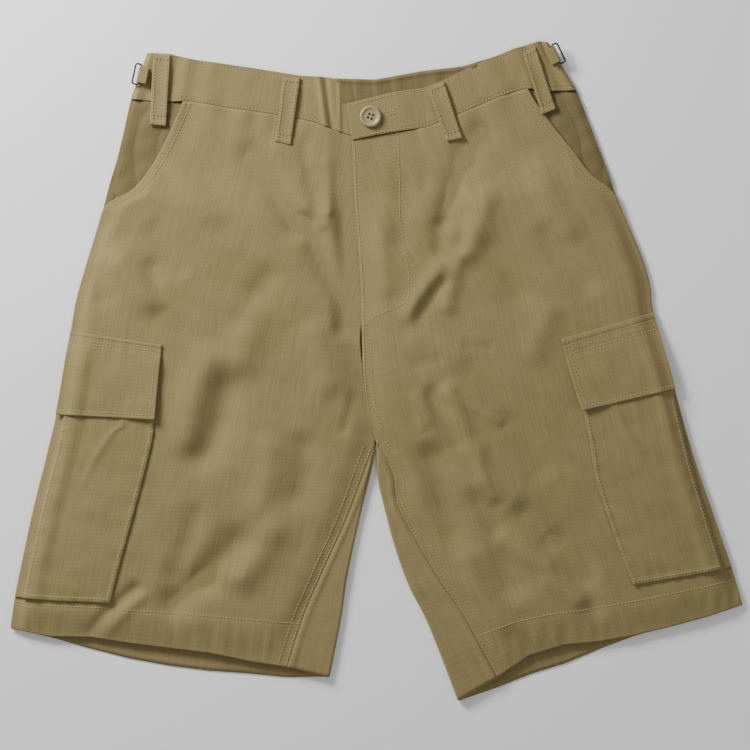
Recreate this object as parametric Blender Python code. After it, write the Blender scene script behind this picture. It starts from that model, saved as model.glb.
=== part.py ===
"""Cargo shorts laid flat, front side up: cloth panels, waistband, pockets, loops, button and side slides.

Origin at the middle of the underside, +X along the widest way, +Y towards the waist, +Z up. The tables are in
millimetres. "Right" and "left" are the wearer's, so the right leg lies on the -X side.
"""

import math
from collections import namedtuple

import bmesh
import bpy
import numpy as np

MM = 0.001  # every table below is in millimetres

# Cloth and layers
CLOTH = 1.2  # wall of one panel
GAP = 0.35  # between pieces that meet at a seam
OVERLAY_GAP = 0.5  # under a piece sewn on top of a panel
BACK_TOP = CLOTH  # the back panels lie on the ground, so their upper side is here
AIR = 1.9  # slack between the back panel and the front panel above it
MOST_AIR = 3.9  # at the highest fold
BACK_BAND_WALL = 1.2
FRONT_BAND_WALL = 2.8
UNDERLAP_WALL = 1.4  # the end of the right band, under the button tab
LOOP_WALL = 1.5
SIDE_FALL = 14.0  # width over which the front comes down to the outer edge

# Fly
LAP_IN = -28.0  # the right front sinks under the left one from here
LAP_OUT = -44.0
TAB_END = 20.0  # the button tab lies raised as far as here
TAB_DOWN = 46.0

# Waist button
BUTTON_AT = (-5.4, 228.4)
BUTTON_R = 9.75
BUTTON_THICK = 3.0
BUTTON_HOLE_R = 1.15
BUTTON_HOLES_APART = 3.5
BUTTON_TURN = math.radians(25)

# Side slides
SLIDE_WIRE_R = 0.8
SLIDE_LONG = 20.0
SLIDE_WIDE = 7.0
SLIDE_CORNER_R = 1.6
TAB_WALL = 1.0
TAB_LONG = 14.6

# Lattice
HALF_ROW = 0.5  # rows of points per station
PANEL_COLUMNS = (0, 0.012, 0.028, 0.05, 0.09, 0.15, 0.22, 0.31, 0.4, 0.49, 0.58, 0.67, 0.76, 0.85, 0.93, 1)
BACK_COLUMNS = (0, 0.125, 0.25, 0.375, 0.5, 0.625, 0.75, 0.875, 1)
FACING_COLUMNS = (0, 0.2, 0.4, 0.6, 0.8, 1)
FACING_REACH = 0.085  # how far the facing runs in under the front panel, as a share
ARC_STEPS = 6
EDGE_PUSH = 0.2  # half the seam gap, in plan

# Stations down each leg. side: the outer edge. inner: the centre line of the seat, then the fold inside the leg.
# open: where the slash pocket's edge crosses, as a share of the way from side to inner. seam: the same for the
# front panel's inner edge, which is the fly, then the crotch seam, then the inseam.
Station = namedtuple("Station", "name side_x side_y inner_x inner_y open seam")
RIGHT_LEG = [
    Station("waist", -221, 244, -1.2, 205, 0.214, 1.078),
    Station("hip", -231, 199, -1.2, 160, 0.152, 1.072),
    Station("hip_low", -240, 168, -1.2, 130, 0.093, 1.062),
    Station("pocket_end", -246, 145, -1.2, 107, 0.0, 1.045),
    Station("seat", -261, 96, -1.2, 66, 0.0, 0.988),
    Station("fly_end", -270, 64, -1.2, 33, 0.0, 0.943),
    Station("flap_top", -275, 36, -1.2, -5, 0.0, 0.955),
    Station("flap_low", -288, -39, -1.2, -54, 0.0, 0.981),
    Station("crotch", -291, -53, -1.4, -66, 0.0, 0.990),
    Station("thigh", -297, -78, -4, -87, 0.0, 0.981),
    Station("knee", -308, -122, -15, -132, 0.0, 0.962),
    Station("knee_low", -318, -168, -26, -184, 0.0, 0.921),
    Station("bag_low", -325, -203, -32, -224, 0.0, 0.886),
    Station("hem", -329, -231, -42, -275, 0.0, 0.868),
]
LEFT_LEG = [
    Station("waist", 180, 252, -0.8, 213, 0.243, 1.117),
    Station("hip", 197, 208, -0.8, 165, 0.126, 1.097),
    Station("hip_low", 208, 180, -0.8, 135, 0.072, 1.083),
    Station("pocket_end", 216, 156, -0.8, 110, 0.0, 1.07),
    Station("seat", 238, 104, -0.8, 70, 0.0, 1.055),
    Station("fly_end", 246, 77, -0.8, 41, 0.0, 1.051),
    Station("flap_top", 249, 53, -0.8, -19, 0.0, 1.04),
    Station("crotch", 264, 0, -0.6, -62, 0.0, 0.989),
    Station("flap_low", 268, -16, 0, -79, 0.0, 0.963),
    Station("thigh", 278, -53, 1.5, -99, 0.0, 0.952),
    Station("knee", 288, -86, 7, -123, 0.0, 0.958),
    Station("knee_mid", 299, -118, 16, -157, 0.0, 0.929),
    Station("knee_low", 310, -150, 29, -193, 0.0, 0.902),
    Station("bag_low", 319, -176, 47, -229, 0.0, 0.884),
    Station("hem", 329, -210, 73, -296, 0.0, 0.861),
]

# How far the waist seam and the hem lie above (+) the straight line of their station, for the front panel and for
# the back panel, at shares of the way from side to inner.
EdgeRow = namedtuple("EdgeRow", "share waist_front waist_back hem_front hem_back")
RIGHT_EDGES = [
    EdgeRow(0.0, 0, 0, 0, 0),
    EdgeRow(0.125, 2.5, 3, -2, -3),
    EdgeRow(0.25, 8, 5, 3, -7.5),
    EdgeRow(0.375, 8, 6, 3, -11),
    EdgeRow(0.5, 9, 8, 4, -12),
    EdgeRow(0.625, 9.5, 10, 5, -11),
    EdgeRow(0.75, 9, 12, 3, -8),
    EdgeRow(0.875, 3, 17, 3, -6),
    EdgeRow(1.0, 0, 21, 0, 0),
]
LEFT_EDGES = [
    EdgeRow(0.0, 0, 0, 0, 0),
    EdgeRow(0.125, 4, 0, 0, 0.5),
    EdgeRow(0.25, 11.5, 4, 2, 2.5),
    EdgeRow(0.375, 9.5, 5, 5, 4.5),
    EdgeRow(0.5, 5, 7, 10, 3.5),
    EdgeRow(0.625, 0, 8, 18, 1),
    EdgeRow(0.75, -4, 9.5, 19, 2),
    EdgeRow(0.875, -2.5, 11, 7, 0),
    EdgeRow(1.0, -1.5, 13, 0, 0),
]

# Top edge of each waistband piece, against the share along the seam below it.
BandTop = namedtuple("BandTop", "share x y")
RIGHT_FRONT_BAND = [
    BandTop(0.0, -206, 286),
    BandTop(0.1, -186, 285),
    BandTop(0.214, -165, 280),
    BandTop(0.36, -133, 275.5),
    BandTop(0.5, -103, 271),
    BandTop(0.66, -69, 265.5),
    BandTop(0.8, -43, 264),
    BandTop(0.89, -29.5, 260),
    BandTop(0.935, -19, 237),
    BandTop(1.078, 18, 241),
]
LEFT_FRONT_BAND = [
    BandTop(0.0, 154, 295.5),
    BandTop(0.1, 146, 296.3),
    BandTop(0.243, 123, 289.5),
    BandTop(0.38, 100, 280),
    BandTop(0.5, 80, 271),
    BandTop(0.625, 60, 261),
    BandTop(0.75, 41, 254),
    BandTop(0.9, 13, 250),
    BandTop(1.117, -27, 240),
]
RIGHT_BACK_BAND = [
    BandTop(0.0, -206, 285),
    BandTop(0.25, -152, 276.5),
    BandTop(0.5, -100, 270),
    BandTop(0.75, -50, 263.5),
    BandTop(1.0, -1, 262),
]
LEFT_BACK_BAND = [
    BandTop(0.0, 154, 295),
    BandTop(0.1, 146, 296),
    BandTop(0.25, 119, 287),
    BandTop(0.5, 78, 274),
    BandTop(0.75, 40, 269.5),
    BandTop(1.0, -1, 262),
]

# The largest folds of the front panels: a ridge (+) or trough (-) from one end to the other.
Fold = namedtuple("Fold", "x0 y0 x1 y1 width rise")
FOLDS = [
    Fold(-116, 200, -64, 127, 16, -1.5),
    Fold(-72, 136, -42, 84, 15, -1.5),
    Fold(-70, 168, -36, 118, 13, 1.2),
    Fold(-236, 105, -196, 60, 14, 1.0),
    Fold(-131, -7, -156, -86, 20, -1.3),
    Fold(-150, 20, -172, -70, 18, 0.8),
    Fold(-114, -146, -187, -215, 22, -1.5),
    Fold(-80, -130, -130, -215, 22, 1.3),
    Fold(95, 223, 72, 170, 15, -1.3),
    Fold(72, 172, 58, 108, 14, -1.3),
    Fold(95, 158, 78, 95, 15, 1.2),
    Fold(58, 99, 29, 45, 13, 1.2),
    Fold(76, 79, 40, 40, 12, -1.2),
    Fold(61, -14, 107, -117, 12, 1.5),
    Fold(60, -62, 110, -190, 24, -1.4),
    Fold(125, -125, 202, -218, 18, -1.4),
    Fold(150, -100, 215, -180, 16, 1.1),
]

# Cargo pockets, in shares of the front panel's width at each station.
CargoPocket = namedtuple("CargoPocket", "inner_top inner_low outer_top outer_low")
RIGHT_POCKET = CargoPocket(0.31, 0.332, 0.026, 0.03)
LEFT_POCKET = CargoPocket(0.318, 0.37, 0.008, 0.036)
POCKET_COLUMNS = (0, 0.06, 0.12, 0.26, 0.45, 0.64, 0.82, 1)
FLAP_PAST_POCKET = 1.012
FLAP_ROWS = 7
MOUTH_ROW = 3  # the row of the flap that the pocket's mouth lies under
GUSSET_UNDER = 0.024  # how far the bellows strip runs in under the pocket, as a share
FLAP_BELOW_GUSSET = 0.25  # of a station

# Belt loops, by corner: top outer, top inner, low inner, low outer.
BeltLoop = namedtuple("BeltLoop", "name top_a top_b low_b low_a")
BELT_LOOPS = [
    BeltLoop("belt_loop_front_right", (-84, 264), (-68.5, 263), (-77, 203), (-91, 206)),
    BeltLoop("belt_loop_front_left", (45, 253.5), (60.5, 260), (77, 209), (63, 206)),
    BeltLoop("belt_loop_side_right", (-200.5, 284.5), (-185, 283.5), (-189, 220), (-203.5, 221)),
    BeltLoop("belt_loop_side_left", (131, 285.5), (142.5, 291.5), (161, 235), (148.5, 230)),
]

# Side slides: where each one's cloth tab starts on the band, and which way the slide points from it.
SideSlide = namedtuple("SideSlide", "side x y turn")
SIDE_SLIDES = [
    SideSlide("right", -205.5, 264.5, math.radians(168)),
    SideSlide("left", 154.5, 281.0, math.radians(25)),
]

Finish = namedtuple("Finish", "name colour roughness metallic")
RIPSTOP = Finish("ripstop_cotton_khaki", "9A8F6D", 0.9, 0.0)
BLACKENED_STEEL = Finish("blackened_steel", "2B2623", 0.45, 1.0)
HORN_BUTTON = Finish("urea_button_tan", "9F9475", 0.5, 0.0)


def smooth_step(value):
    """0 below 0, 1 above 1, with level ends."""
    t = np.clip(value, 0.0, 1.0)
    return t * t * (3 - 2 * t)


def through_rows(rows, where):
    """A smooth curve through the rows of a table, at fractional row numbers (Catmull-Rom)."""
    values = np.asarray(rows, float)
    last = len(values) - 1
    where = np.clip(np.asarray(where, float), 0, last)
    i = np.minimum(where.astype(int), last - 1)
    t = where - i
    before, here, there, after = (values[np.clip(i + k, 0, last)] for k in (-1, 0, 1, 2))
    slope_here = (there - before) / 2
    slope_there = (after - here) / 2
    t2, t3 = t * t, t * t * t
    return (
        (2 * t3 - 3 * t2 + 1) * here
        + (t3 - 2 * t2 + t) * slope_here
        + (3 * t2 - 2 * t3) * there
        + (t3 - t2) * slope_there
    )


def column(table, name):
    return [getattr(row, name) for row in table]


class Leg:
    """One leg's places: share 0 at the outer side to 1 at the inner fold, row 0 at the waist down to the hem."""

    def __init__(self, stations, edges, pocket, push):
        self.stations = stations
        self.edges = edges
        self.pocket = pocket
        self.push = push
        self.last = len(stations) - 1

    def row(self, name):
        return column(self.stations, "name").index(name)

    def at(self, name, row):
        return through_rows(column(self.stations, name), row)

    def edge(self, name, share):
        return np.interp(share, column(self.edges, "share"), column(self.edges, name))

    def point(self, share, row, face):
        """X and Y on the straight line of the row, lifted near the waist and the hem by the edge table."""
        x = self.at("side_x", row) * (1 - share) + self.at("inner_x", row) * share
        y = self.at("side_y", row) * (1 - share) + self.at("inner_y", row) * share
        near_waist = np.clip(1 - row / 2, 0, 1) ** 2
        near_hem = np.clip(1 - (self.last - row) / 2, 0, 1) ** 2
        y = y + near_waist * self.edge("waist_" + face, share)
        y = y + near_hem * self.edge("hem_" + face, share)
        return x, y

    def opening(self, row):
        """Share where the front panel begins: the slash pocket's edge, then the outer side."""
        return np.maximum(self.at("open", row), 0.0) * (np.asarray(row) < self.row("pocket_end"))

    def panel_share(self, s, row):
        """From a share of the front panel's own width to a share of the whole leg."""
        start = self.opening(row)
        return start + (self.at("seam", row) - start) * s

    def width(self, row):
        return np.hypot(
            self.at("side_x", row) - self.at("inner_x", row), self.at("side_y", row) - self.at("inner_y", row)
        )


RIGHT = Leg(RIGHT_LEG, RIGHT_EDGES, RIGHT_POCKET, -EDGE_PUSH)
LEFT = Leg(LEFT_LEG, LEFT_EDGES, LEFT_POCKET, EDGE_PUSH)


def folds_at(x, y):
    """Sum of the folds: a bell across each fold, fading along it towards both ends."""
    total = np.zeros(np.broadcast(x, y).shape)
    for fold in FOLDS:
        along_x, along_y = fold.x1 - fold.x0, fold.y1 - fold.y0
        length = math.hypot(along_x, along_y)
        along = ((x - fold.x0) * along_x + (y - fold.y0) * along_y) / length
        across = ((x - fold.x0) * along_y - (y - fold.y0) * along_x) / length
        ends = smooth_step(along / fold.width + 0.5) * smooth_step((length - along) / fold.width + 0.5)
        total = total + fold.rise * ends * np.exp(-((across / fold.width) ** 2))
    return total


def front_under(leg, share, row, x, y):
    """Height of a front panel's underside: slack over the back panel, folds, and the fall to the outer side."""
    side_distance = share * leg.width(row)
    fall = smooth_step(side_distance / SIDE_FALL)
    below_opening = smooth_step((row - leg.row("pocket_end")) / 0.6)
    fall = 1 - below_opening * (1 - fall)
    if leg is RIGHT:
        under_lap = smooth_step((x - LAP_OUT) / (LAP_IN - LAP_OUT)) * smooth_step((leg.row("fly_end") + 0.4 - row) / 0.5)
        fall = fall * (1 - under_lap)
    air = (AIR + folds_at(x, y)) * fall
    return BACK_TOP + GAP + np.clip(air, 0.0, MOST_AIR)


def panel_point(leg, s, row):
    """X, Y and upper height of the front panel at a share of its own width."""
    share = leg.panel_share(s, row)
    x, y = leg.point(share, row, "front")
    top = front_under(leg, share, row, x, y) + CLOTH
    return x, y, top


def linear(hex_colour):
    channels = [int(hex_colour[i : i + 2], 16) / 255 for i in (0, 2, 4)]
    return [c / 12.92 if c <= 0.04045 else ((c + 0.055) / 1.055) ** 2.4 for c in channels] + [1.0]


def make_material(finish, name):
    material = bpy.data.materials.new(name)
    material.use_nodes = True
    shader = material.node_tree.nodes["Principled BSDF"]
    shader.inputs["Base Color"].default_value = linear(finish.colour)
    shader.inputs["Roughness"].default_value = finish.roughness
    shader.inputs["Metallic"].default_value = finish.metallic
    return material


def make_object(name, points, faces, finish):
    """One closed mesh from points in millimetres, its faces turned outwards."""
    work = bmesh.new()
    vertices = [work.verts.new(np.asarray(p, float) * MM) for p in points]
    for face in faces:
        work.faces.new([vertices[i] for i in face])
    bmesh.ops.delete(work, geom=[v for v in work.verts if not v.link_faces], context="VERTS")
    bmesh.ops.recalc_face_normals(work, faces=work.faces)
    mesh = bpy.data.meshes.new(name)
    work.to_mesh(mesh)
    work.free()
    mesh.materials.append(make_material(finish, name))
    made = bpy.data.objects.new(name, mesh)
    bpy.context.collection.objects.link(made)
    return made


def make_wall(name, inside, outside, finish=RIPSTOP, keep=None):
    """A closed wall between two grids of points, over the cells that keep marks, with a rim round its edge."""
    inside, outside = np.asarray(inside, float), np.asarray(outside, float)
    rows, columns = inside.shape[:2]
    number = np.arange(rows * columns).reshape(rows, columns)
    if keep is None:
        keep = np.ones((rows - 1, columns - 1), bool)
    shift = rows * columns
    faces = []
    rim = {}
    for i, j in zip(*np.nonzero(keep)):
        cell = [int(n) for n in (number[i, j], number[i, j + 1], number[i + 1, j + 1], number[i + 1, j])]
        faces.append(cell)
        faces.append([n + shift for n in reversed(cell)])
        for a, b in zip(cell, cell[1:] + cell[:1]):
            if (b, a) in rim:
                del rim[(b, a)]
            else:
                rim[(a, b)] = True
    faces += [[b, a, a + shift, b + shift] for a, b in rim]
    points = np.concatenate([inside.reshape(-1, 3), outside.reshape(-1, 3)])
    return make_object(name, points, faces, finish)


def make_cover(name, x, y, under, wall, finish=RIPSTOP):
    """A wall of even height standing on the heights given."""
    x, y, under = np.broadcast_arrays(x, y, under)
    return make_wall(name, np.stack([x, y, under], -1), np.stack([x, y, under + wall], -1), finish)


def half_rows(first, last):
    """Rows of points from one station to another, two for each station."""
    return np.linspace(first, last, int(round((last - first) / HALF_ROW)) + 1)[:, None]


def make_front_leg(name, leg):
    row = half_rows(0, leg.last)
    s = np.array(PANEL_COLUMNS)[None, :]
    x, y, top = panel_point(leg, s, row)
    x = x + leg.push * (s >= 1)
    return make_cover(name, x, y, top - CLOTH, CLOTH)


def make_back_leg(name, leg):
    """Flat on the ground from the side to the inner fold, and below the crotch round the fold to the inseam."""
    row = half_rows(0, leg.last)
    toward = np.sign(leg.stations[0].side_x)
    seam_x, seam_y, seam_top = panel_point(leg, np.array([[1.0]]), row)
    fold_x, fold_y = leg.point(np.array([[1.0]]), row, "back")
    outer_r = seam_top / 2
    inner_r = outer_r - CLOTH
    wraps = row >= leg.row("crotch")
    bend_x = fold_x + np.where(wraps, toward * outer_r, 0.0)

    flat_share = np.array([BACK_COLUMNS])
    side_x, side_y = leg.point(flat_share, row, "back")
    stretch = (bend_x - side_x[:, :1]) / (fold_x - side_x[:, :1])
    flat_x = side_x[:, :1] + (side_x - side_x[:, :1]) * stretch
    zeros = np.zeros_like(flat_x)
    outside = [np.stack([flat_x, side_y, zeros], -1)]
    inside = [np.stack([flat_x, side_y, zeros + CLOTH], -1)]

    angle = (np.pi * np.arange(1, ARC_STEPS + 1) / ARC_STEPS)[None, :]
    for grid, radius in ((outside, outer_r), (inside, inner_r)):
        arc_x = bend_x - toward * radius * np.sin(angle)
        arc_z = outer_r - radius * np.cos(angle)
        grid.append(np.stack([arc_x, fold_y + 0 * angle, arc_z], -1))

    to_seam = np.array([[0.5, 1.0]])
    past_seam = seam_x - leg.push
    start_x = np.where(np.abs(past_seam - bend_x) > 1.0, bend_x, past_seam - toward)
    run_x = start_x + (past_seam - start_x) * to_seam
    run_y = fold_y + (seam_y - fold_y) * to_seam
    outside.append(np.stack([run_x, run_y, seam_top + 0 * to_seam], -1))
    inside.append(np.stack([run_x, run_y, seam_top - CLOTH + 0 * to_seam], -1))

    outside, inside = np.concatenate(outside, 1), np.concatenate(inside, 1)
    keep = np.ones((len(row) - 1, outside.shape[1] - 1), bool)
    keep[:, flat_share.size - 1 :] = wraps[:-1]
    return make_wall(name, inside, outside, keep=keep)


def make_facing(name, leg):
    """The slash pocket's facing, from the side in under the front panel's edge."""
    row = half_rows(0, leg.row("pocket_end"))
    row[0] += 0.02
    row[-1] -= 0.06
    width = leg.opening(row) + FACING_REACH
    x, y = leg.point(width * np.array([FACING_COLUMNS]), row, "front")
    return make_cover(name, x, y, BACK_TOP + GAP, CLOTH)


def band_grid(leg, table, face, shares):
    """X and Y of a waistband from just above the waist seam (row 0) to its top edge (last row)."""
    low_x, low_y = leg.point(shares, 0.0, face)
    top_x = np.interp(shares, column(table, "share"), column(table, "x"))
    top_y = np.interp(shares, column(table, "share"), column(table, "y"))
    rise = np.array([0.0, 0.33, 0.66, 1.0])[:, None]
    return low_x + (top_x - low_x) * rise, low_y + GAP + (top_y - low_y - GAP) * rise


def make_waistband_front(name, leg, table, under, wall):
    over_facing = np.array(FACING_COLUMNS[:4]) * (leg.opening(0.0) + FACING_REACH)
    shares = np.concatenate([over_facing, leg.panel_share(np.array(PANEL_COLUMNS), 0.0)])
    x, y = band_grid(leg, table, "front", shares)
    return make_cover(name, x, y, under(x), wall(x))


def tab_lift(x):
    """How far the left band rises where it laps over the right one."""
    lap = smooth_step((TAB_DOWN - x) / (TAB_DOWN - TAB_END))
    return lap * (UNDERLAP_WALL + GAP)


def underlap_wall(x):
    lap = smooth_step((x - LAP_OUT) / (LAP_IN - LAP_OUT))
    return FRONT_BAND_WALL + (UNDERLAP_WALL - FRONT_BAND_WALL) * lap


BAND_UNDER = BACK_BAND_WALL + GAP
BAND_TOP = BAND_UNDER + FRONT_BAND_WALL


def make_waistband_back():
    """One strip across both back panels, its inner side showing above the front band."""
    right_shares = np.array(BACK_COLUMNS)
    left_shares = right_shares[::-1]
    right_x, right_y = band_grid(RIGHT, RIGHT_BACK_BAND, "back", right_shares)
    left_x, left_y = band_grid(LEFT, LEFT_BACK_BAND, "back", left_shares)
    x = np.concatenate([right_x, left_x[:, 1:]], 1)
    y = np.concatenate([right_y, left_y[:, 1:]], 1)
    return make_cover("waistband_back", x, y, 0.0, BACK_BAND_WALL)


def pocket_edges(leg, row):
    """Shares of the pocket's outer and inner edges at a row."""
    p = leg.pocket
    down = np.clip((row - leg.row("flap_low")) / (leg.row("bag_low") - leg.row("flap_low")), 0, 1)
    return p.outer_top + (p.outer_low - p.outer_top) * down, p.inner_top + (p.inner_low - p.inner_top) * down


def gusset_lift(c):
    """How far the pocket stands over its bellows strip, against the share across the pocket."""
    return (CLOTH + GAP) * (1 - smooth_step((c - 0.12) / 0.14))


def flap_rows(leg):
    return np.linspace(leg.row("flap_top"), leg.row("flap_low"), FLAP_ROWS)[:, None]


def make_cargo_pocket(name, leg):
    low = leg.row("flap_low")
    row = np.concatenate([flap_rows(leg)[MOUTH_ROW:], half_rows(low, leg.row("bag_low"))[1:]])
    outer, inner = pocket_edges(leg, row)
    c = np.array([POCKET_COLUMNS])
    x, y, top_z = panel_point(leg, outer + (inner - outer) * c, row)
    return make_cover(name, x, y, top_z + OVERLAY_GAP + gusset_lift(c), CLOTH)


def make_cargo_gusset(name, leg):
    row = half_rows(leg.row("flap_low") - FLAP_BELOW_GUSSET, leg.row("bag_low"))
    outer, _ = pocket_edges(leg, row)
    x, y, top_z = panel_point(leg, (outer + GUSSET_UNDER) * np.array([[0, 0.5, 1.0]]), row)
    return make_cover(name, x, y, top_z + OVERLAY_GAP, CLOTH)


def make_cargo_flap(name, leg):
    row = flap_rows(leg)
    outer, inner = pocket_edges(leg, row)
    c = np.array([(-1,) + POCKET_COLUMNS[:-1] + (FLAP_PAST_POCKET,)])
    x, y, top_z = panel_point(leg, np.maximum(outer + (inner - outer) * c, 0.0), row)
    over_pocket = smooth_step(np.arange(FLAP_ROWS)[:, None] / (MOUTH_ROW - 0.5))
    lift = over_pocket * (CLOTH + OVERLAY_GAP + gusset_lift(c))
    return make_cover(name, x, y, top_z + OVERLAY_GAP + lift, CLOTH)


def make_belt_loop(loop):
    """A flat doubled strip from the band's top edge down over the seam, bowed a little off the band."""
    down = np.linspace(0, 1, 7)[:, None, None]
    across = np.array([0, 0.5, 1.0])[None, :, None]
    a, b = np.array(loop.top_a), np.array(loop.top_b)
    c, d = np.array(loop.low_b), np.array(loop.low_a)
    place = (a * (1 - across) + b * across) * (1 - down) + (d * (1 - across) + c * across) * down
    x, y = place[..., 0], place[..., 1]
    under = BAND_TOP + GAP + 0.8 * np.sin(np.pi * down[..., 0])
    return make_cover(loop.name, x, y, under, LOOP_WALL)


def make_cutter(name, x, y, z, radius, depth):
    bpy.ops.mesh.primitive_cylinder_add(vertices=12, radius=radius * MM, depth=depth * MM)
    cutter = bpy.context.object
    cutter.name = name
    cutter.location = (x * MM, y * MM, z * MM)
    cutter.hide_render = True
    cutter.display_type = "WIRE"
    return cutter


def make_waist_button():
    """A turned four-hole button: flat back, rounded rim, dished middle."""
    x0, y0 = BUTTON_AT
    z0 = BAND_TOP + UNDERLAP_WALL + 2 * GAP
    r, thick = BUTTON_R, BUTTON_THICK
    profile = [
        (r - 1.0, 0.0),
        (r - 0.2, 0.7),
        (r, 1.5),
        (r - 0.5, thick - 0.4),
        (r - 1.6, thick),
        (r - 2.8, thick - 0.5),
        (r - 4.2, thick - 1.2),
    ]
    steps = 32
    turn = [2 * math.pi * k / steps for k in range(steps)]
    points = [(x0 + pr * math.cos(a), y0 + pr * math.sin(a), z0 + pz) for pr, pz in profile for a in turn]
    faces = [
        [i * steps + k, i * steps + (k + 1) % steps, (i + 1) * steps + (k + 1) % steps, (i + 1) * steps + k]
        for i in range(len(profile) - 1)
        for k in range(steps)
    ]
    faces.append(list(range(steps))[::-1])
    faces.append([(len(profile) - 1) * steps + k for k in range(steps)])
    button = make_object("waist_button", points, faces, HORN_BUTTON)
    for k in range(4):
        angle = BUTTON_TURN + math.pi / 2 * k
        reach = BUTTON_HOLES_APART / math.sqrt(2)
        cutter = make_cutter(
            f"button_hole_{k}", x0 + reach * math.cos(angle), y0 + reach * math.sin(angle), z0, BUTTON_HOLE_R, 12
        )
        cut = button.modifiers.new(f"hole_{k}", "BOOLEAN")
        cut.operation = "DIFFERENCE"
        cut.object = cutter
    return button


def turned_place(slide, across, along):
    """From a side slide's own directions to X and Y."""
    cos, sin = math.cos(slide.turn), math.sin(slide.turn)
    return slide.x + across * cos - along * sin, slide.y + across * sin + along * cos


def slide_bar_z():
    return BAND_TOP + GAP + TAB_WALL + GAP + SLIDE_WIRE_R


def make_slide(slide):
    """A wire ring with straight sides and round corners; its inner bar lies in the cloth tab's fold."""
    half_w, half_l = SLIDE_WIDE / 2 - SLIDE_WIRE_R, SLIDE_LONG / 2 - SLIDE_WIRE_R
    r = SLIDE_CORNER_R
    path = []
    for corner, (sx, sy) in enumerate(((1, 1), (-1, 1), (-1, -1), (1, -1))):
        for k in range(4):
            angle = math.pi / 2 * (corner + k / 3)
            path.append((sx * (half_w - r) + r * math.cos(angle), sy * (half_l - r) + r * math.sin(angle), angle))
    centre = TAB_REACH + half_w
    sides = 8
    points, faces = [], []
    for across, along, angle in path:
        for k in range(sides):
            turn = 2 * math.pi * k / sides
            out = SLIDE_WIRE_R * math.cos(turn)
            x, y = turned_place(slide, centre + across + out * math.cos(angle), along + out * math.sin(angle))
            points.append((x, y, slide_bar_z() + SLIDE_WIRE_R * math.sin(turn)))
    for i in range(len(path)):
        j = (i + 1) % len(path)
        for k in range(sides):
            n = (k + 1) % sides
            faces.append([i * sides + k, i * sides + n, j * sides + n, j * sides + k])
    return make_object("adjuster_slide_" + slide.side, points, faces, BLACKENED_STEEL)


TAB_REACH = 7.0  # from the tab's sewn end to the slide's inner bar


def make_slide_tab(slide):
    """A short strip folded round the slide's inner bar, both ends on the band."""
    inner_r = SLIDE_WIRE_R + GAP
    outer_r = inner_r + TAB_WALL
    angles = np.linspace(-np.pi / 2, np.pi / 2, 7)
    grids = []
    for radius in (inner_r, outer_r):
        across = np.concatenate([[0.0], TAB_REACH + radius * np.cos(angles), [0.0]])
        z = slide_bar_z() + np.concatenate([[-radius], radius * np.sin(angles), [radius]])
        along = np.array([-0.5, 0.0, 0.5])[:, None] * TAB_LONG
        x, y = turned_place(slide, across[None, :], along)
        grids.append(np.stack([x, y, z + 0 * x], -1))
    return make_wall("adjuster_tab_" + slide.side, *grids)


for old in list(bpy.data.objects):
    bpy.data.objects.remove(old, do_unlink=True)

for side_name, leg_ in (("right", RIGHT), ("left", LEFT)):
    make_back_leg("back_leg_" + side_name, leg_)
    make_front_leg("front_leg_" + side_name, leg_)
    make_facing("pocket_facing_" + side_name, leg_)
    make_cargo_gusset("cargo_gusset_" + side_name, leg_)
    make_cargo_pocket("cargo_pocket_" + side_name, leg_)
    make_cargo_flap("cargo_flap_" + side_name, leg_)

make_waistband_back()
make_waistband_front("waistband_front_right", RIGHT, RIGHT_FRONT_BAND, lambda x: BAND_UNDER + 0 * x, underlap_wall)
make_waistband_front(
    "waistband_front_left", LEFT, LEFT_FRONT_BAND, lambda x: BAND_UNDER + tab_lift(x), lambda x: FRONT_BAND_WALL
)
for loop_ in BELT_LOOPS:
    make_belt_loop(loop_)
make_waist_button()
for slide_ in SIDE_SLIDES:
    make_slide(slide_)
    make_slide_tab(slide_)
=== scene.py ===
import math
import bpy
import numpy as np
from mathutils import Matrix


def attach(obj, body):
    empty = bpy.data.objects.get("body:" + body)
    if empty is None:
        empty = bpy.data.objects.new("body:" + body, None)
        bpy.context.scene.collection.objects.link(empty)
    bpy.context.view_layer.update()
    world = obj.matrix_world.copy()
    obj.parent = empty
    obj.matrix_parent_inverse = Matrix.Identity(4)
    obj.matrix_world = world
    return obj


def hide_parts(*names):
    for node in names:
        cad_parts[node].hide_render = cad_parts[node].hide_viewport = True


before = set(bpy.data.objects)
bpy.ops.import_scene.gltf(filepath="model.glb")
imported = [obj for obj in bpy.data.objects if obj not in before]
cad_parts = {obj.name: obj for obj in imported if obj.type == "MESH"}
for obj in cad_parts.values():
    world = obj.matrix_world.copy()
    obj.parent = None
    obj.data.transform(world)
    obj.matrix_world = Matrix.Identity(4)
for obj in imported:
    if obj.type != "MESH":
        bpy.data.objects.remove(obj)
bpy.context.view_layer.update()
mm = 0.001  # the tables below are in millimetres, as a cutter would write them
scene = bpy.context.scene

# Camera straight down, as the shorts lie, in mm
camera = {"frameWidth": 675, "height": 2300, "overX": -1.35, "overY": -3.6, "sensor": 36}
camData = bpy.data.cameras.new("overhead")
camData.sensor_width = camera["sensor"]
camData.lens = camera["sensor"] * camera["height"] / camera["frameWidth"]
camObject = bpy.data.objects.new("overhead", camData)
camObject.location = (camera["overX"] * mm, camera["overY"] * mm, camera["height"] * mm)
scene.collection.objects.link(camObject)
scene.camera = camObject

# Heights and thicknesses of the layers, in mm from the floor up. Air is the slack under the fronts,
# loft what the fronts rise beyond it away from their edges.
layers = {"cloth": 1.2, "gap": 0.35, "overlay": 0.5, "air": 1.9, "bandUnder": 1.55, "bandWall": 2.8,
          "underlap": 1.4, "shell": 0.7, "sideFall": 14.0, "loft": 3.4}
backTop = layers["cloth"]
bandTop = layers["bandUnder"] + layers["bandWall"]

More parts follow.
